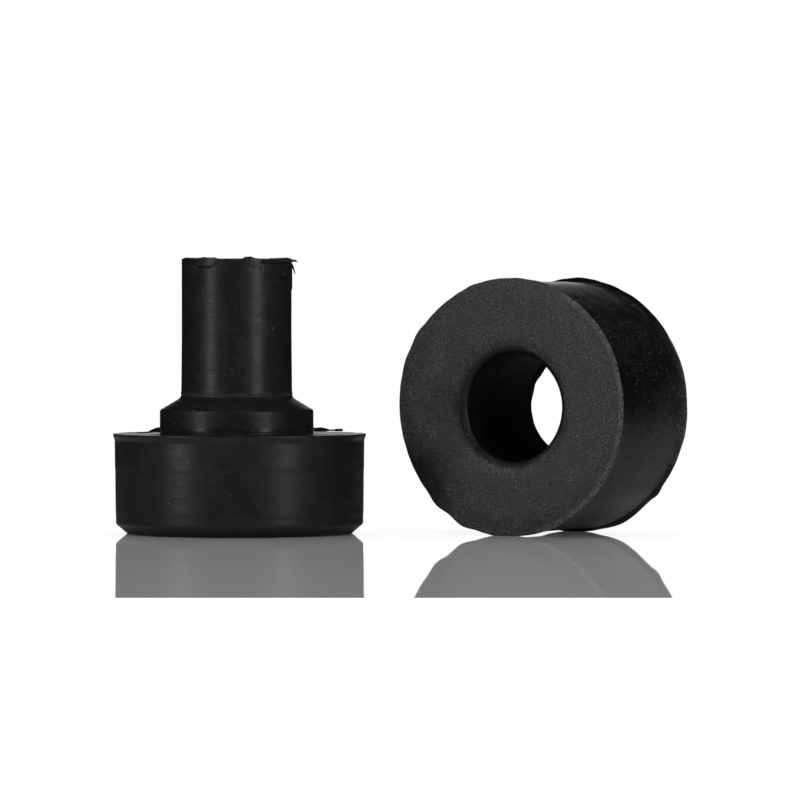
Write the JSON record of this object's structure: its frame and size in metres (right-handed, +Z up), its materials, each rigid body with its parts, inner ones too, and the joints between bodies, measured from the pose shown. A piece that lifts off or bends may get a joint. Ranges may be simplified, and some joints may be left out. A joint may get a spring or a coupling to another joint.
{
  "type": "anti-vibration mount",
  "caption": "Two-part rubber ring-and-bush anti-vibration mount: a stepped bush with a through bolt hole, and its loose ring standing beside it on its rim.",
  "frame": {"origin": "where the axis of the bolt hole meets the bush's underside", "axes": "+Z up the bush's stem, +X towards the ring, -Y towards the viewer"},
  "size_m": [0.0738, 0.0338, 0.0354],
  "materials": {
    "bush_rubber": "satin black moulded rubber with faint mould lines, flash and specks of dust",
    "ring_rubber": "dull black moulded rubber with a fine dusty bloom on its face"
  },
  "bodies": {
    "root": {"bush": "bush_rubber", "ring": "ring_rubber"}
  },
  "joints": []
}
